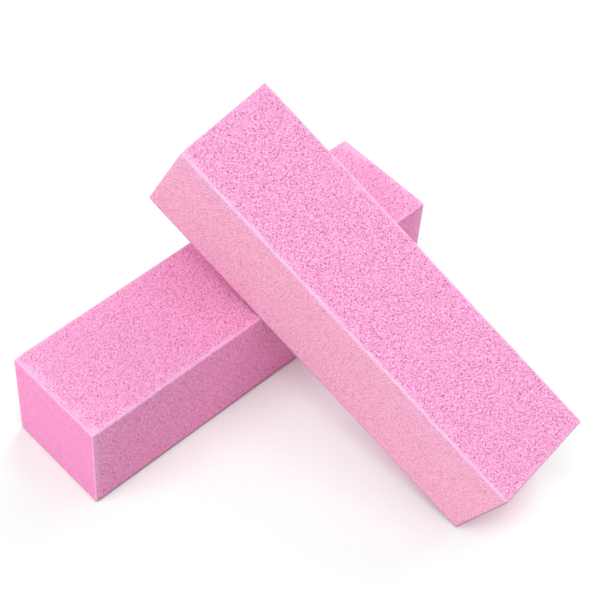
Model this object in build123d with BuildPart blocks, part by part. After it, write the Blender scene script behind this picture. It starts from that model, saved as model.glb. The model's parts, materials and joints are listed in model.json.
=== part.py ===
"""Two nail buffer blocks: one lies flat, and the other leans on its long upper edge.

A buffer block is a bar of closed-cell foam. Each of its four long faces carries a
thin resin bond coat and, on that, a coat of abrasive grit. The bar is cut to length
after coating, so both ends are bare foam with the edges of the coats around them.

X runs along the lying block, Y across it and Z up. The origin is the centre of the
lying block's underside. Lengths are in millimetres and angles in degrees.
"""

import os
from math import cos, hypot, radians, sin

from build123d import *

# One block, over its grit.
BLOCK_LENGTH = 95.0
BLOCK_WIDTH = 25.8
BLOCK_HEIGHT = 25.2

# What the block is made of, from the inside out.
CORE_EDGE_RADIUS = 0.25
BOND_THICKNESS = 0.15
GRIT_THICKNESS = 0.40

# How the second block leans on the first.
LEAN_TILT = 24.9  # its underside's slope, about the lying block's length
LEAN_YAW = 7.0  # the turn of its length within that slope
FOOT_PLACE = 5.0  # its lowest corner, along X
LEAN_CLEARANCE = 0.2  # between its underside and the edge that carries it

# Both coats follow the foam's eased edges at a constant thickness.
BOND_EDGE_RADIUS = CORE_EDGE_RADIUS + BOND_THICKNESS
EDGE_RADIUS = BOND_EDGE_RADIUS + GRIT_THICKNESS


def lying_plane():
    """The lying block's plane: at its centre, X along its length and Z out of its top."""
    return Plane(origin=(0, 0, BLOCK_HEIGHT / 2), x_dir=(1, 0, 0), z_dir=(0, 0, 1))


def leaning_plane():
    """The leaning block's plane, found from what the block rests on.

    Its underside passes the lying block's rounded upper edge at the clearance, and
    the rounded lower corner of its foot is level with the lying block's underside.
    """
    tilt, yaw = radians(LEAN_TILT), radians(LEAN_YAW)
    level = Vector(1, 0, 0)
    slope = Vector(0, cos(tilt), sin(tilt))
    length = slope * cos(yaw) - level * sin(yaw)
    out = level.cross(slope)
    left = out.cross(length)

    # The foot's lower left edge is an arc about this offset from the block's centre.
    arc_centre = (
        left * (BLOCK_WIDTH / 2 - EDGE_RADIUS)
        - length * (BLOCK_LENGTH / 2)
        - out * (BLOCK_HEIGHT / 2 - EDGE_RADIUS)
    )
    centre_z = EDGE_RADIUS * hypot(left.Z, out.Z) - arc_centre.Z

    # The carrying edge is an arc about this point, and the underside is tangent to it.
    edge_centre = Vector(0, EDGE_RADIUS - BLOCK_WIDTH / 2, BLOCK_HEIGHT - EDGE_RADIUS)
    centre_height = out.dot(edge_centre) + EDGE_RADIUS + LEAN_CLEARANCE + BLOCK_HEIGHT / 2
    centre_y = (centre_z * out.Z - centre_height) / -out.Y

    foot_corner = left * (BLOCK_WIDTH / 2) - length * (BLOCK_LENGTH / 2)
    centre = Vector(FOOT_PLACE - foot_corner.X, centre_y, centre_z)
    return Plane(origin=centre, x_dir=length, z_dir=out)


def section_plane(block, up):
    """The plane of a block's near end, with its own Y along up."""
    near_end = block.origin - block.x_dir * (BLOCK_LENGTH / 2)
    return Plane(origin=near_end, x_dir=up.cross(block.x_dir), z_dir=block.x_dir)


def finish(part, name):
    """Names a finished piece and writes it to its file."""
    part.label = name
    export_step(part, f"parts/{name}.step")


def make_core(block, name):
    """The foam bar, with its long edges eased."""
    coats = BOND_THICKNESS + GRIT_THICKNESS
    with BuildPart() as core:
        with BuildSketch(section_plane(block, block.z_dir)):
            RectangleRounded(BLOCK_WIDTH - 2 * coats, BLOCK_HEIGHT - 2 * coats, CORE_EDGE_RADIUS)
        extrude(amount=BLOCK_LENGTH)
    finish(core.part, name)


def make_coat(block, up, span, height, depth, thickness, name):
    """One face's coat, mitred at 45 degrees to the coats of the faces beside it.

    The face looks along up. Span and height are the block's size across it and
    through it, and depth is what lies over this coat.
    """
    outer_span, outer_height = span - 2 * depth, height - 2 * depth
    outer_radius = EDGE_RADIUS - depth
    with BuildPart() as coat:
        with BuildSketch(section_plane(block, up)):
            RectangleRounded(outer_span, outer_height, outer_radius)
            RectangleRounded(
                outer_span - 2 * thickness,
                outer_height - 2 * thickness,
                outer_radius - thickness,
                mode=Mode.SUBTRACT,
            )
            with BuildLine():
                Polyline(
                    (-span / 2, height / 2),
                    (-span / 2 + EDGE_RADIUS, height / 2 - EDGE_RADIUS),
                    (span / 2 - EDGE_RADIUS, height / 2 - EDGE_RADIUS),
                    (span / 2, height / 2),
                    close=True,
                )
            make_face(mode=Mode.INTERSECT)
        extrude(amount=BLOCK_LENGTH)
    finish(coat.part, name)


def make_block(block, prefix):
    """One whole buffer block: coarse grit above and below, fine grit at the sides."""
    make_core(block, f"{prefix}_foam_core")
    faces = (
        ("top", "coarse", block.z_dir, BLOCK_WIDTH, BLOCK_HEIGHT),
        ("bottom", "coarse", -block.z_dir, BLOCK_WIDTH, BLOCK_HEIGHT),
        ("left", "fine", block.y_dir, BLOCK_HEIGHT, BLOCK_WIDTH),
        ("right", "fine", -block.y_dir, BLOCK_HEIGHT, BLOCK_WIDTH),
    )
    for side, grade, up, span, height in faces:
        bond_name = f"{prefix}_bond_coat_{side}"
        grit_name = f"{prefix}_{grade}_grit_{side}"
        make_coat(block, up, span, height, GRIT_THICKNESS, BOND_THICKNESS, bond_name)
        make_coat(block, up, span, height, 0, GRIT_THICKNESS, grit_name)


os.makedirs("parts", exist_ok=True)
make_block(lying_plane(), "lying")
make_block(leaning_plane(), "leaning")
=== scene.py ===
"""Two pink nail buffer blocks on a white table: one lies flat, and the other leans on it."""

import json
from math import cos, pi, radians, sin, sqrt
from types import SimpleNamespace

import bpy
import numpy as np
from mathutils import Matrix, Vector


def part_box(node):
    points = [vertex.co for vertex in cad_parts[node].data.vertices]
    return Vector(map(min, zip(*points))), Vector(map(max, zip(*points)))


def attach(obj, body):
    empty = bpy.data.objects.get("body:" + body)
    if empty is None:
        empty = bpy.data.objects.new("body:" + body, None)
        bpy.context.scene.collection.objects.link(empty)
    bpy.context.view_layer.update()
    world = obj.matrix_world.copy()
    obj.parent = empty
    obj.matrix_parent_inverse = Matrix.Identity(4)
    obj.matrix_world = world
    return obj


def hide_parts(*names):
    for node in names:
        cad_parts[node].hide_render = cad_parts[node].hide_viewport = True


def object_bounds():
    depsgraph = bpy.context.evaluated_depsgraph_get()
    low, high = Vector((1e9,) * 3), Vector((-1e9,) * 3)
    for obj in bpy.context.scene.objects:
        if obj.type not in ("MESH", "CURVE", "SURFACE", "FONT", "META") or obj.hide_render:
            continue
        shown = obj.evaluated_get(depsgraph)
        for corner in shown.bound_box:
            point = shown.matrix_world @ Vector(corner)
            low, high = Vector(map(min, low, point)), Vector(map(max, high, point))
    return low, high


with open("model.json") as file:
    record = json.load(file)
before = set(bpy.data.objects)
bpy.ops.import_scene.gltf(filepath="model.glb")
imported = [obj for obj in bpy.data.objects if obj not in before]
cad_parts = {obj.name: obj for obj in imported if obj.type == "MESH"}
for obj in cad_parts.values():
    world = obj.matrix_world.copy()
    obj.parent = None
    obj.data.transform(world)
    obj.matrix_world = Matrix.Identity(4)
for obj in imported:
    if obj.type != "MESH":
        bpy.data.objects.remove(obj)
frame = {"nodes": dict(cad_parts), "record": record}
cad_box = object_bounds()

# ---------------------------------------------------------------------------------------
# Foam cores
# Each block is a bar of closed-cell EVA foam, dyed pink right through. The coated bar is
# knife-cut to length, so the foam shows only at the ends, as a smooth face of fine cells.

MM = 0.001
CORE_EDGE_RADIUS = 0.25 * MM

# Foam of this kind has cells of about 0.1 mm, which are too fine to show. They are drawn
# as coarse as the mesh on the cut ends, which has a point every 0.17 mm.
FOAM_STEP = 0.17 * MM
CELL_BLUR = 0.05 * MM
CELL_DEPTH = 0.07 * MM

# From here in from the rim, the cells are at their full depth.
CELL_MARGIN = 0.5 * MM

# How many spreads of the noise lie between a cell's bottom and the top of its wall.
CELL_SPREADS = 5

# The foam's share of its map: a square for each end, and a strip for the sides above them.
END_SQUARE = 0.48
END_MARGIN = 0.01
SIDE_STRIP = (0.55, 0.99)


def numbers(items, name, width):
    """One property of every item of a mesh collection, as an array with a row for each."""
    found = np.empty(len(items) * width, np.float32)
    items.foreach_get(name, found)
    return found.reshape(-1, width).astype(float)


def outward(node, centre):
    """The unit normal of a CAD node's largest triangle, turned away from the centre."""
    faces = frame["nodes"][node].data.polygons
    largest = numbers(faces, "area", 1).argmax()
    normal = numbers(faces, "normal", 3)[largest]
    return normal * np.sign(normal @ (numbers(faces, "center", 3)[largest] - centre))


def spans(block, names):
    """The size of some CAD nodes together, along the block's own three axes."""
    points = [numbers(frame["nodes"][name].data.vertices, "co", 3) for name in names]
    return np.ptp((np.concatenate(points) - block.centre) @ block.axes.T, axis=0)


def read_block(name):
    """A block's centre, its axes (along it, to its left and up out of its top) and its size.

    Up and left are the normals of its top and left coats, and along is left crossed with up.
    """
    lowest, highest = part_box(f"{name}_foam_core")
    block = SimpleNamespace(name=name, centre=np.array((lowest + highest) / 2))
    up = outward(f"{name}_coarse_grit_top", block.centre)
    left = outward(f"{name}_fine_grit_left", block.centre)
    block.axes = np.array([np.cross(left, up), left, up])
    nodes = frame["record"]["behaviour"]["bodies"][f"{name}_block"]
    block.size = spans(block, nodes)
    return block


def blurred_noise(shape, step, width, seed, evenness=0.0, reach=0.3 * MM):
    """White noise blurred by a Gaussian of the given width, with mean 0 and spread 1.

    The blur multiplies each frequency f of the noise by exp(-2 (pi width f)^2). A share of the
    noise blurred to a wider reach is taken away, which spaces its bumps more evenly.
    """
    noise = np.random.default_rng(seed).standard_normal(shape)
    square = np.fft.fftfreq(shape[0], step)[:, None] ** 2 + np.fft.rfftfreq(shape[1], step) ** 2
    kept = np.exp(-2 * (pi * width) ** 2 * square)
    kept = kept - evenness * np.exp(-2 * (pi * reach) ** 2 * square)
    field = np.fft.irfft2(np.fft.rfft2(noise) * kept, shape)
    return (field - field.mean()) / field.std()


def make_mesh(name, points, faces, smooth, uv, attributes):
    """A piece from point, face and corner arrays. Faces is a list of arrays of equal polygons.

    Points are in the CAD's frame, in metres. Attributes are one number for each point, by
    name. The map is named OFBake.
    """
    mesh = bpy.data.meshes.new(name)
    mesh.vertices.add(len(points))
    mesh.vertices.foreach_set("co", points.astype(np.float32).ravel())
    lengths = np.concatenate([np.full(len(group), group.shape[1]) for group in faces])
    corners = np.concatenate([group.ravel() for group in faces])
    mesh.loops.add(len(corners))
    mesh.loops.foreach_set("vertex_index", corners.astype(np.int32))
    mesh.polygons.add(len(lengths))
    starts = np.concatenate([[0], np.cumsum(lengths)[:-1]])
    mesh.polygons.foreach_set("loop_start", starts.astype(np.int32))
    mesh.polygons.foreach_set("use_smooth", smooth)
    layer = mesh.uv_layers.new(name="OFBake")
    layer.uv.foreach_set("vector", uv.astype(np.float32).ravel())
    for key, values in attributes.items():
        attribute = mesh.attributes.new(key, "FLOAT", "POINT")
        attribute.data.foreach_set("value", values.astype(np.float32).ravel())
    mesh.update(calc_edges=True)
    mesh.validate()
    piece = bpy.data.objects.new(name, mesh)
    bpy.context.scene.collection.objects.link(piece)
    return piece


def linear(colour):
    """An sRGB hex colour as linear red, green and blue, with alpha 1.

    Each channel from 0 to 1 is divided by 12.92 if it is at most 0.04045, and otherwise has
    0.055 added, is divided by 1.055 and is raised to the power of 2.4.
    """
    shares = [int(colour[i : i + 2], 16) / 255 for i in (1, 3, 5)]
    return [s / 12.92 if s <= 0.04045 else ((s + 0.055) / 1.055) ** 2.4 for s in shares] + [1]


def add_node(tree, kind, result, inputs, **settings):
    """Adds a shader node, with values or links on its inputs, and gives back one output.

    Only sockets in use are looked at: a Mix node has its own A and B for each kind of data.
    """
    node = tree.nodes.new(f"ShaderNode{kind}")
    for key, value in settings.items():
        setattr(node, key, value)
    used = {socket.name: socket for socket in node.inputs if socket.enabled}
    for key, value in inputs.items():
        if isinstance(value, bpy.types.NodeSocket):
            tree.links.new(value, used[key])
        else:
            used[key].default_value = value
    return next(socket for socket in node.outputs if socket.enabled and socket.name == result)


def new_material(name):
    """A new material, its node tree and its surface shader."""
    material = bpy.data.materials.new(name)
    material.use_nodes = True
    return material, material.node_tree, material.node_tree.nodes["Principled BSDF"]


# The dye's soft patches, and the tooth that the knife leaves: how wide and how deep.
DYE_PATCH = 1.1 * MM
KNIFE_DRAG = 0.3 * MM
DRAG_DEPTH = 0.04 * MM


def make_foam_material():
    """EVA foam, cross-linked, dyed and knife-cut: matt, in an even and slightly cloudy pink.

    Cut cell walls are paler and a little smoother than the open cells between them. The dye
    took unevenly in soft patches, and the knife dragged the cut skin into a faint tooth.
    """
    material, tree, shader = new_material("cut_eva_foam")
    place = add_node(tree, "TexCoord", "Object", {})
    cell = add_node(tree, "Attribute", "Fac", {}, attribute_name="cell")
    dye = {"Vector": place, "Scale": 1 / DYE_PATCH, "Detail": 2.0}
    blotches = add_node(tree, "TexNoise", "Fac", dye)
    tints = {"Factor": cell, "A": linear("#E760A4"), "B": linear("#FFB3E3")}
    tone = add_node(tree, "Mix", "Result", tints, data_type="RGBA")
    soft = {"Value": blotches, "From Min": 0.3, "From Max": 0.8}
    patches = add_node(tree, "MapRange", "Result", soft)
    layers = {"Factor": patches, "A": tone, "B": linear("#F887BA")}
    pink = add_node(tree, "Mix", "Result", layers, data_type="RGBA")
    tree.links.new(pink, shader.inputs["Base Color"])
    matt = {"Value": cell, "To Min": 0.9, "To Max": 0.7}
    tree.links.new(add_node(tree, "MapRange", "Result", matt), shader.inputs["Roughness"])
    dragged = {"Vector": place, "Scale": 1 / KNIFE_DRAG, "Detail": 3.0}
    skin = add_node(tree, "TexNoise", "Fac", dragged)
    tooth = {"Height": skin, "Strength": 0.3, "Distance": DRAG_DEPTH}
    tree.links.new(add_node(tree, "Bump", "Normal", tooth), shader.inputs["Normal"])
    return material


def make_core(block, seed):
    """A closed bar: a dense grid on each cut end, and plain sides between their rims.

    A grid point beyond the eased edge's corner is drawn in onto its arc. Each end is pressed
    in by its cells, by CELL_DEPTH at the deepest, and not at all at its rim.
    """
    node = f"{block.name}_foam_core"
    length, width, height = spans(block, [node])
    radius = CORE_EDGE_RADIUS
    count = int(width / FOAM_STEP) + 1
    share = np.linspace(-1, 1, count)
    across, up = np.meshgrid(share * width / 2, share * height / 2, indexing="ij")
    inner_across = np.clip(across, radius - width / 2, width / 2 - radius)
    inner_up = np.clip(up, radius - height / 2, height / 2 - radius)
    reach = np.maximum(np.hypot(across - inner_across, up - inner_up) / radius, 1)
    across = inner_across + (across - inner_across) / reach
    up = inner_up + (up - inner_up) / reach
    rim = np.minimum(width / 2 - abs(across), height / 2 - abs(up))
    points, walls = [], []
    for i, side in enumerate((-1, 1)):
        noise = blurred_noise(across.shape, FOAM_STEP, CELL_BLUR, seed + i)
        cell = np.clip(0.5 + noise / CELL_SPREADS, 0, 1)
        walls.append(cell.ravel())
        pressed = CELL_DEPTH * (1 - cell) * np.clip(rim / CELL_MARGIN, 0, 1)
        points.append(np.stack([side * (length / 2 - pressed), across, up], 2).reshape(-1, 3))
    points = block.centre + np.concatenate(points) @ block.axes

    index = np.arange(count * count).reshape(count, count)
    quads = np.stack([index[:-1, :-1], index[:-1, 1:], index[1:, 1:], index[1:, :-1]], 2)
    quads = quads.reshape(-1, 4)
    rim_loop = [index[:-1, 0], index[-1, :-1], index[:0:-1, -1], index[0, :0:-1]]
    rim_loop = np.concatenate(rim_loop)
    following = np.roll(rim_loop, -1)
    far = count * count
    sides = np.stack([rim_loop, following, following + far, rim_loop + far], 1)
    faces = [quads, quads[:, ::-1] + far, sides]

    flat = np.stack([across / width, up / height], 2).reshape(-1, 2) + 0.5
    end_uv = flat * END_SQUARE + END_MARGIN
    near_uv = end_uv[quads].reshape(-1, 2)
    far_uv = end_uv[quads[:, ::-1]].reshape(-1, 2) + [0.5, 0]
    steps = np.arange(len(rim_loop) + 1) / len(rim_loop)
    round_rim = np.stack([steps[:-1], steps[1:], steps[1:], steps[:-1]], 1)
    low, high = SIDE_STRIP
    side_uv = np.stack([round_rim, np.broadcast_to([low, low, high, high], round_rim.shape)], 2)
    uv = np.concatenate([near_uv, far_uv, side_uv.reshape(-1, 2)])
    smooth = np.concatenate([np.ones(2 * len(quads), bool), np.zeros(len(sides), bool)])
    attributes = {"cell": np.concatenate(walls)}
    return make_mesh(f"{block.name}_foam_bar", points, faces, smooth, uv, attributes)


blocks = [read_block("lying"), read_block("leaning")]
foam = make_foam_material()
for number, block in enumerate(blocks):
    bar = make_core(block, seed=10 + 2 * number)
    bar.data.materials.append(foam)
    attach(bar, f"{block.name}_block")
    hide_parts(f"{block.name}_foam_core")

# ---------------------------------------------------------------------------------------
# Bond coats
# A thin coat of tinted resin is spread on each long face of the foam to hold the grit. It
# shows only as a fine line around the cut ends, so the CAD solids keep their shape.

# Cast resin, cured in air: satin, with pale streaks where the spreader left it thicker.
STREAK = 0.8 * MM
bond, tree, shader = new_material("tinted_resin_bond_coat")
place = add_node(tree, "TexCoord", "Object", {})
spread = {"Vector": place, "Scale": 1 / STREAK, "Detail": 2.0}
streaks = add_node(tree, "TexNoise", "Fac", spread)
tints = {"Factor": streaks, "A": linear("#F797C7"), "B": linear("#FDACD8")}
pink = add_node(tree, "Mix", "Result", tints, data_type="RGBA")
tree.links.new(pink, shader.inputs["Base Color"])
satin = {"Value": streaks, "To Min": 0.45, "To Max": 0.75}
tree.links.new(add_node(tree, "MapRange", "Result", satin), shader.inputs["Roughness"])
for block in blocks:
    for side in ("top", "bottom", "left", "right"):
        coat = frame["nodes"][f"{block.name}_bond_coat_{side}"]
        coat.data.materials.clear()
        coat.data.materials.append(bond)

# ---------------------------------------------------------------------------------------
# Grit coats
# Abrasive grains are sprinkled into the wet resin and sealed with a second coat. The top
# and bottom carry coarse grit and the two sides fine grit. Grains lie thick on the flat,
# with open pits between them, and thin out to bare pale resin along the worn edges. The
# long edges are drawn paler partly as a painted highlight, the deepest pits darker partly
# as painted shade, and the lower edges and the leaning block's foot take a painted shade.

# A point every 0.17 mm keeps a coat under 200,000 triangles. Real grains are 0.1 to 0.2 mm
# across, so they are drawn at about this step, which is as fine as they can show.
GRID_STEP = 0.17 * MM

# A coat's cut end has a small eased corner, and the knife pinches the coat towards it.
END_RADIUS = 0.14 * MM
PINCH_DEPTH = 0.14 * MM
PINCH_REACH = 1.0 * MM

# The pits flatten out over the last 0.4 mm before the mitre, where two coats meet.
EDGE_RAMP = 0.4 * MM

# How far the pale reaches in from a long edge, partly wear and partly a painted highlight,
# and how far wear reaches in from a cut end, and how much both wander: by slow waves and
# by quick ones as strong. Pits below half depth keep more of their colour.
PALE_EDGE_WIDTH = 0.42 * MM
FRAYED_WIDTH = 1.1 * MM
SLOW_WAVE = 1.3 * MM
QUICK_WAVE = 0.2 * MM
WANDER = 0.22
PIT_SHELTER = 0.9

# How far in from a lower edge a painted shade darkens the coat, and its strength along
# the ends of the underside.
SHADE_WIDTH = 0.65 * MM
END_SHADE = 0.5

# How far in the leaning block is darkened by painted shade round its foot, the end that
# it stands on, and the shade's strength on its top face.
FOOT_WIDTH = 0.28 * MM
TOP_FOOT_SHADE = 0.4

# The bed of grain: how evenly its pits are spaced, how much sharper they are than its
# tops, and how many spreads of its noise lie between the highest grain and the lowest pit.
EVENNESS = 0.39
PIT_SKEW = 0.1
PIT_SPREADS = 4.2

# How much of the pits' depth, and of their colour, is left in the bare resin at the rims.
BARE_RELIEF = 0.15
BARE_CONTRAST = 0.4

# How worn the coat's cut section looks at its ends, and on the underside its painted shade.
SECTION_WEAR = 0.2
SECTION_SHADE = 0.4

# The outer surface takes nearly the whole map, and the hidden faces narrow strips below it.
MAP_MARGIN = 0.002
OUTER_START = 0.1
STRIP_STEP = 0.012
STRIP_WIDTH = 0.010

# The two cut sections lie side by side between the strips and the outer surface.
SECTION_WIDTH = 0.45
SECTION_MIDDLE = 0.25
SECTION_HEIGHT = 0.02
SECTION_TOP = 0.09


def fading(distance, width):
    """From 1 at distance 0: a narrow bell, and under it a weak skirt twice as wide.

    The bell is exp(-(distance / width)^2), with 82% of the height, and the skirt is
    exp(-distance / (2 width)), with 18%.
    """
    return 0.82 * np.exp(-((distance / width) ** 2)) + 0.18 * np.exp(-distance / (2 * width))


def read_face(block, side, node):
    """One long face: its axes (along, across and out), its sizes, and its coat's thickness.

    The coat stops at 45 degrees round the edge. So the face's width less the coat's is
    (2 - sqrt 2) times the edge's radius. And the radius less the coat's depth, times sqrt 2,
    is the radius of the coat's inner surface.
    """
    along, left, up = block.axes
    face = SimpleNamespace(turn=("top", "left", "bottom", "right").index(side))
    out = (up, left, -up, -left)[face.turn]
    face.axes = np.array([along, np.cross(out, along), out])
    face.length = block.size[0]
    # A left or right face is as wide as the block is high, so its two sizes change places.
    order = 1 if face.turn % 2 == 0 else -1
    face.span, face.height = block.size[1:][::order]
    mitred_span, face.depth = spans(block, [node])[1:][::order]
    face.radius = (face.span - mitred_span) / (2 - sqrt(2))
    face.inner_radius = (face.radius - face.depth) * sqrt(2)
    face.flat = face.span / 2 - face.radius
    return face


def lay_out(face):
    """Distances across the face and along it, and how far in each row of the coat is.

    Across, they go from mitre to mitre, over the flat and an eighth of each round edge. Along,
    the last three rows at each end turn down over the eased corner, at 30, 60 and 90 degrees.
    """
    half = face.flat + face.radius * pi / 4
    path = np.linspace(-half, half, int(2 * half / GRID_STEP) + 1)
    flat_end = face.length / 2 - END_RADIUS
    flat_run = np.linspace(-flat_end, flat_end, int(face.length / GRID_STEP))
    turned = np.radians([30, 60, 90])
    end_run = flat_end + END_RADIUS * np.sin(turned)
    end_inset = END_RADIUS * (1 - np.cos(turned))
    run = np.concatenate([-end_run[::-1], flat_run, end_run])
    inset = np.concatenate([end_inset[::-1], 0 * flat_run, end_inset])
    return path, run, inset


def wear_highlight_and_shade(block, face, along, across, from_edge, from_end, seed):
    """How pale each place is drawn and how dark, both from 0 to 1.

    The pale fades inwards from the long edges, partly wear and partly a painted highlight,
    and from the cut ends, where it is wear, over widths that wander by noise, and the shares
    that the two leave untouched are multiplied. The dark is painted shade along the lower
    edges and round the foot: a bell, exp(-(distance / width)^2), and the darkest one counts.
    """
    wander = WANDER * blurred_noise(along.shape, GRID_STEP, SLOW_WAVE, seed)
    wander += WANDER * blurred_noise(along.shape, GRID_STEP, QUICK_WAVE, seed + 2)
    # No width shrinks to nothing, and those at the cut ends wander twice as far.
    wander = np.clip(1 + wander, 0.3, 2)
    # The long edges are pale partly by wear and partly as a painted highlight.
    edges = (block.edge_wear[face.turn], block.edge_wear[face.turn - 1])
    edge_wear = np.where(across > 0, *edges) * fading(from_edge, PALE_EDGE_WIDTH * wander)
    ragged = np.clip(2 * wander - 1, 0.2, 3)
    frayed = block.end_wear[face.turn] * fading(from_end, FRAYED_WIDTH * ragged)
    worn = 1 - (1 - edge_wear) * (1 - frayed)

    # Across points down on a left face and up on a right one.
    lower = {1: across > 0, 2: True, 3: across < 0}.get(face.turn, False)
    # Painted shade darkens the lower edges, and on the underside the cut ends as well.
    dark = block.pool * lower * np.exp(-((from_edge / SHADE_WIDTH) ** 2))
    if face.turn == 2:
        dark = np.maximum(dark, END_SHADE * block.pool * np.exp(-((from_end / SHADE_WIDTH) ** 2)))
    # Painted shade darkens the coat round the foot of the leaning block.
    climb = face.axes[0][2]
    if climb != 0:
        foot = along * climb < 0
        foot_shade = (TOP_FOOT_SHADE if face.turn == 0 else 1) * foot
        dark = np.maximum(dark, foot_shade * np.exp(-((from_end / FOOT_WIDTH) ** 2)))
    return worn, dark


def build_shell(block, face, path, run, relief):
    """The coat as a closed shell: its points, its faces and its first ring in face axes.

    Each place along the run has a ring: the outer surface from mitre to mitre, pressed in
    along its normal by the relief, and back by the four corners of the inner surface. On the
    round edge the normal has turned by the distance past the flat over the radius.
    """
    angle = np.clip(abs(path) - face.flat, 0, None) / face.radius
    normal = np.stack([np.sign(path) * np.sin(angle), np.cos(angle)], -1)
    rise = face.height / 2 - face.radius
    middle = np.stack([np.clip(path, -face.flat, face.flat), np.full_like(path, rise)], -1)
    outer = middle + normal * face.radius - normal * relief[..., None]

    # The inner surface's corners: a mitre, the two ends of the flat, and the other mitre.
    turned = np.array([pi / 4, 0, 0, -pi / 4])
    aside = np.array([1, 1, -1, -1]) * face.flat + face.inner_radius * np.sin(turned)
    above = rise + face.inner_radius * np.cos(turned)
    inner = np.broadcast_to(np.stack([aside, above], 1), (len(run), 4, 2))
    ring = np.concatenate([outer, inner], 1)
    around = ring.shape[1]
    along = np.broadcast_to(run[:, None, None], (len(run), around, 1))
    ring = np.concatenate([along, ring], 2)
    points = block.centre + ring.reshape(-1, 3) @ face.axes
    index = np.arange(len(run) * around).reshape(len(run), around)
    following = np.roll(index, -1, axis=1)
    quads = np.stack([index[:-1], index[1:], following[1:], following[:-1]], 2).reshape(-1, 4)
    return points, [quads, index[:1], index[-1:, ::-1]], ring[0, :, 1:]


def map_shell(face, first_ring, rows):
    """The shell's map: along it to the right, round it upwards, and the two cut ends small."""
    u = np.linspace(MAP_MARGIN, 1 - MAP_MARGIN, rows)
    columns = len(first_ring) - 4
    steps = np.linspace(OUTER_START, 1 - MAP_MARGIN, columns)
    strips = STRIP_STEP * np.arange(5)
    low = np.concatenate([steps[:-1], strips])
    high = np.concatenate([steps[1:], strips + STRIP_WIDTH])
    quad_uv = np.empty((rows - 1, len(low), 4, 2))
    quad_uv[..., 0] = np.stack([u[:-1], u[1:], u[1:], u[:-1]], 1)[:, None]
    quad_uv[..., 1] = np.stack([low, low, high, high], 1)
    across, out = first_ring.T
    aside = across / face.span * SECTION_WIDTH + SECTION_MIDDLE
    above = (out - face.height / 2) / face.depth * SECTION_HEIGHT + SECTION_TOP
    near_uv = np.stack([aside, above], 1)
    return np.concatenate([quad_uv.reshape(-1, 2), near_uv, near_uv[::-1] + [0.5, 0]])


def make_coat(block, side, grade, seed):
    """One face's coat of grit, as a closed shell with a dense outer surface.

    Grain is a blurred noise, and a pit is its lack: from 0 at the highest grain to 1 at the
    lowest pit. The surface is pressed in by the pits' depth, which is shallow in the bare
    resin along the rims and fades out at the mitres, by the eased corner at each end, and by
    the knife's pinch, which fades by exp(-distance / PINCH_REACH).
    """
    node = f"{block.name}_{grade.word}_grit_{side}"
    face = read_face(block, side, node)
    path, run, inset = lay_out(face)
    along, across = np.meshgrid(run, path, indexing="ij")
    from_end = face.length / 2 - abs(along)
    from_edge = path[-1] - abs(across)
    worn, dark = wear_highlight_and_shade(block, face, along, across, from_edge, from_end, seed)
    clear = np.clip(np.minimum(from_edge, from_end) / grade.clear_width, 0, 1)
    clear = clear * clear * (3 - 2 * clear)

    bed = blurred_noise(along.shape, GRID_STEP, grade.grain, seed + 1, EVENNESS)
    bed -= PIT_SKEW * (bed**2 - 1)
    pit = np.clip(0.5 - block.open_share * bed / PIT_SPREADS, 0, 1)
    worn = worn * (1 - PIT_SHELTER * np.clip(pit - 0.5, 0, 0.5))
    relief = grade.relief * pit * (BARE_RELIEF + (1 - BARE_RELIEF) * clear)
    relief = relief * np.clip(from_edge / EDGE_RAMP, 0, 1)
    relief += inset[:, None] + PINCH_DEPTH * np.exp(-from_end / PINCH_REACH)

    points, faces, first_ring = build_shell(block, face, path, run, relief)
    uv = map_shell(face, first_ring, len(run))
    smooth = np.zeros((len(run) - 1, len(first_ring)), bool)
    smooth[:, : len(path) - 1] = True
    smooth = np.concatenate([smooth.ravel(), [False, False]])

    # The four inner points of a ring show only as the coat's cut section at its ends.
    inner = np.ones((len(run), 4))
    shown = 0.5 + (pit - 0.5) * (BARE_CONTRAST + (1 - BARE_CONTRAST) * clear)
    # The underside's cut section is darkened as painted shade.
    section_dark = SECTION_SHADE * block.pool * (face.turn == 2)
    attributes = {
        "pit": np.concatenate([shown, 0.5 * inner], 1),
        "worn": np.concatenate([worn, SECTION_WEAR * inner], 1),
        "painted_shade": np.concatenate([dark, section_dark * inner], 1),
    }
    piece = make_mesh(f"{node}_coat", points, faces, smooth, uv, attributes)
    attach(piece, f"{block.name}_block")
    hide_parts(node)
    return piece


# Patches of resin in one tint and wide clouds in it, and the facets of a grain: how wide
# and how deep.
GRAIN_TINT = 0.7 * MM
RESIN_CLOUD = 3 * MM
GRAIN_FACET = 0.2 * MM
FACET_DEPTH = 0.04 * MM


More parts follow.
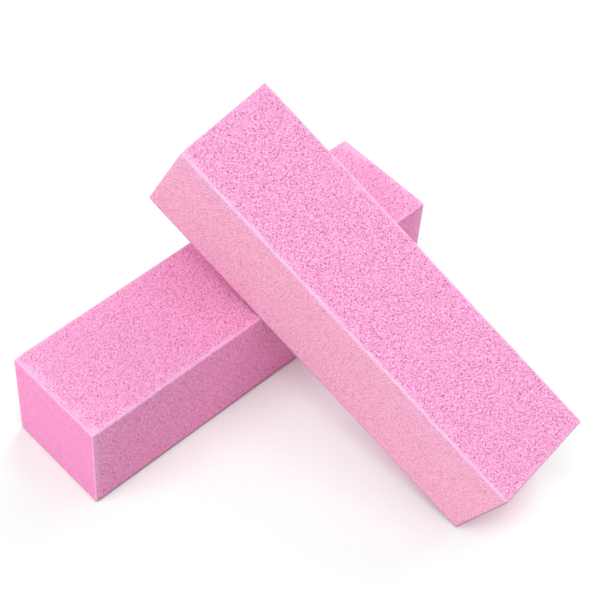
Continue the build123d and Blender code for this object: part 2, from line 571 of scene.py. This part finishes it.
def make_grit_material(name, grain, resin, pit, worn, pool):
    """Abrasive grain in tinted resin: matt, with pale grain tops, resin and darker pits.

    Pit, pale edge and painted shade come with the surface, as the relief does. Grain shades
    into resin down to half depth, and resin into pit below that: the pit's darker colour is
    partly the resin's deeper colour and partly painted shade in the hollows. The pale edge
    colour is partly wear and partly a painted highlight, and the shade colour is painted shade
    along the lower edges and round the foot. The resin has three tints: two by patches of
    grain and one in wide clouds. Grain tops are smoother than the pits, and a fine bump gives
    them facets.
    """
    material, tree, shader = new_material(name)
    place = add_node(tree, "TexCoord", "Object", {})
    depth = add_node(tree, "Attribute", "Fac", {}, attribute_name="pit")
    paled = add_node(tree, "Attribute", "Fac", {}, attribute_name="worn")
    shaded = add_node(tree, "Attribute", "Fac", {}, attribute_name="painted_shade")
    patches = {"Vector": place, "Scale": 1 / GRAIN_TINT, "Detail": 1.0}
    tint = add_node(tree, "TexNoise", "Fac", patches)
    wide = {"Vector": place, "Scale": 1 / RESIN_CLOUD, "Detail": 2.0}
    clouds = add_node(tree, "TexNoise", "Fac", wide)
    upper = {"Value": depth, "From Min": 0.0, "From Max": 0.5}
    buried = add_node(tree, "MapRange", "Result", upper)
    under = {"Value": depth, "From Min": 0.5, "From Max": 1.0}
    sunk = add_node(tree, "MapRange", "Result", under)
    layers = {"Factor": tint, "A": linear(resin[0]), "B": linear(resin[1])}
    body = add_node(tree, "Mix", "Result", layers, data_type="RGBA")
    layers = {"Factor": clouds, "A": body, "B": linear(resin[2])}
    cloudy = add_node(tree, "Mix", "Result", layers, data_type="RGBA")
    layers = {"Factor": buried, "A": linear(grain), "B": cloudy}
    grainy = add_node(tree, "Mix", "Result", layers, data_type="RGBA")
    # The deepest pits are darker: partly the resin's deeper colour, partly painted shade in the
    # hollows.
    layers = {"Factor": sunk, "A": grainy, "B": linear(pit)}
    pitted = add_node(tree, "Mix", "Result", layers, data_type="RGBA")
    # Pale edges: partly wear, partly a painted highlight.
    layers = {"Factor": paled, "A": pitted, "B": linear(worn)}
    edged = add_node(tree, "Mix", "Result", layers, data_type="RGBA")
    # Painted shade along the lower edges and round the foot.
    layers = {"Factor": shaded, "A": edged, "B": linear(pool)}
    darkened = add_node(tree, "Mix", "Result", layers, data_type="RGBA")
    tree.links.new(darkened, shader.inputs["Base Color"])
    matt = {"Value": depth, "From Min": 0.1, "From Max": 0.7, "To Min": 0.55, "To Max": 0.95}
    tree.links.new(add_node(tree, "MapRange", "Result", matt), shader.inputs["Roughness"])
    broken = {"Vector": place, "Scale": 1 / GRAIN_FACET, "Detail": 2.0}
    facets = add_node(tree, "TexNoise", "Fac", broken)
    rough = {"Height": facets, "Strength": 0.35, "Distance": FACET_DEPTH}
    tree.links.new(add_node(tree, "Bump", "Normal", rough), shader.inputs["Normal"])
    return material


# From 0 to 1 for each block: how pale its long edges are drawn, partly by wear and partly
# as a painted highlight (top left, bottom left, bottom right and top right), how far its cut
# ends have frayed (top, left, bottom and right), how open its pits are, and how dark the
# painted shade along its lower edges is.
lying, leaning = blocks
lying.edge_wear = (0.65, 0.1, 0.1, 0.8)
lying.end_wear = (0.6, 0.0, 0.2, 0.45)
lying.open_share = 0.85
lying.pool = 1.0
leaning.edge_wear = (0.92, 0.15, 0.15, 0.75)
leaning.end_wear = (0.2, 0.1, 0.1, 0.1)
leaning.open_share = 1.0
leaning.pool = 0.35

# Each grade's blur of the grain, its deepest pit, and how wide its rims are of bare resin.
coarse = SimpleNamespace(
    word="coarse",
    grain=0.03 * MM,
    relief=0.30 * MM,
    clear_width=0.6 * MM,
    material=make_grit_material(
        name="coarse_grit_in_pink_resin",
        grain="#FFCCF1",
        resin=("#FA9ECC", "#FEA7D4", "#FD94C9"),
        pit="#B03070",
        worn="#FFC8EF",
        pool="#976177",
    ),
)
fine = SimpleNamespace(
    word="fine",
    grain=0.03 * MM,
    relief=0.17 * MM,
    clear_width=0.7 * MM,
    material=make_grit_material(
        name="fine_grit_in_pink_resin",
        grain="#F8C9E3",
        resin=("#F6A0C2", "#F8ADCD", "#F8A0C2"),
        pit="#C66387",
        worn="#F7C1E3",
        pool="#915D73",
    ),
)

# The lying block's sides are from a batch of fine grit with rosier resin and deeper pits.
rose = SimpleNamespace(
    word="fine",
    grain=0.03 * MM,
    relief=0.25 * MM,
    clear_width=0.7 * MM,
    material=make_grit_material(
        name="fine_grit_in_rose_resin",
        grain="#FFD2F8",
        resin=("#F994C6", "#FEA1D2", "#FE92C8"),
        pit="#A10B54",
        worn="#FFC3ED",
        pool="#AC6587",
    ),
)

# Seeds are far enough apart that no two coats share a noise.
FACES = (("top", coarse), ("bottom", coarse), ("left", fine), ("right", fine))
for number, block in enumerate(blocks):
    for order, (side, grade) in enumerate(FACES):
        batch = rose if grade is fine and block is lying else grade
        coat = make_coat(block, side, batch, seed=100 + 40 * number + 10 * order)
        coat.data.materials.append(batch.material)

# ---------------------------------------------------------------------------------------
# Table
# A sheet of white cast acrylic that the blocks stand on, matt and pale, and wide enough to
# run past every view.

TABLE_HALF = 2.0
table, tree, shader = new_material("white_acrylic_table")
shader.inputs["Base Color"].default_value = linear("#FBFBF8")
shader.inputs["Roughness"].default_value = 0.9
corners = np.array([[-1, -1, 0], [1, -1, 0], [1, 1, 0], [-1, 1, 0]]) * TABLE_HALF
corners[:, 2] = cad_box[0].z
floor_mesh = bpy.data.meshes.new("table")
floor_mesh.from_pydata(corners.tolist(), [], [(0, 1, 2, 3)])
floor_mesh.materials.append(table)
floor = bpy.data.objects.new("table", floor_mesh)
bpy.context.scene.collection.objects.link(floor)

# ---------------------------------------------------------------------------------------
# Light
# A light tent: six large soft panels, round the blocks and over them, and a weak even
# light from all round. Their daylight leaves pale soft shadows close to the blocks.

TENT_STRENGTH = 0.05
DAYLIGHT = "#F2FFFC"
world = bpy.data.worlds.new("light_tent")
bpy.context.scene.world = world
world.use_nodes = True
tent = world.node_tree.nodes["Background"]
tent.inputs["Color"].default_value = linear(DAYLIGHT)
tent.inputs["Strength"].default_value = TENT_STRENGTH

# Each panel's name, azimuth and elevation in degrees, and power in watts.
PANELS = (
    ("high_left_panel", 180, 60, 45.0),
    ("high_right_panel", 0, 60, 18.7),
    ("high_front_panel", 270, 65, 37.4),
    ("left_panel", 163, 15, 45.0),
    ("right_panel", 0, 24, 38.9),
    ("back_right_panel", 30, 40, 22.2),
)
PANEL_SIDE = 2.3
PANEL_DISTANCE = 3.0
middle = (cad_box[0] + cad_box[1]) / 2
for name, azimuth, elevation, power in PANELS:
    data = bpy.data.lights.new(name, "AREA")
    data.shape = "SQUARE"
    data.size = PANEL_SIDE
    data.energy = power
    data.color = linear(DAYLIGHT)[:3]
    level = cos(radians(elevation))
    height = sin(radians(elevation))
    toward = Vector((cos(radians(azimuth)) * level, sin(radians(azimuth)) * level, height))
    facing = toward.to_track_quat("Z", "Y").to_matrix().to_4x4()
    panel = bpy.data.objects.new(name, data)
    panel.matrix_world = Matrix.Translation(middle + PANEL_DISTANCE * toward) @ facing
    bpy.context.scene.collection.objects.link(panel)

# ---------------------------------------------------------------------------------------
# Camera
# A long lens looks down on the pair from the near left, rolled a little. Colours are shown
# as they are lit, with no film curve over them.

CAMERA_PLACE = Vector((-162.7, -172.6, 320.6)) * MM
CAMERA_AZIMUTH = 47.15
CAMERA_ELEVATION = 51.83
CAMERA_ROLL = 5.0
CAMERA_LENS = 105.9
SENSOR_WIDTH = 36.0
NEAREST_SEEN = 10 * MM

camera_data = bpy.data.cameras.new("camera")
camera_data.lens = CAMERA_LENS
camera_data.sensor_width = SENSOR_WIDTH
camera_data.clip_start = NEAREST_SEEN
camera = bpy.data.objects.new("camera", camera_data)
aim = (
    Matrix.Rotation(radians(-CAMERA_AZIMUTH), 4, "Z")
    @ Matrix.Rotation(radians(90 - CAMERA_ELEVATION), 4, "X")
    @ Matrix.Rotation(radians(CAMERA_ROLL), 4, "Z")
)
camera.matrix_world = Matrix.Translation(CAMERA_PLACE) @ aim
bpy.context.scene.collection.objects.link(camera)
bpy.context.scene.camera = camera
bpy.context.scene.view_settings.view_transform = "Standard"
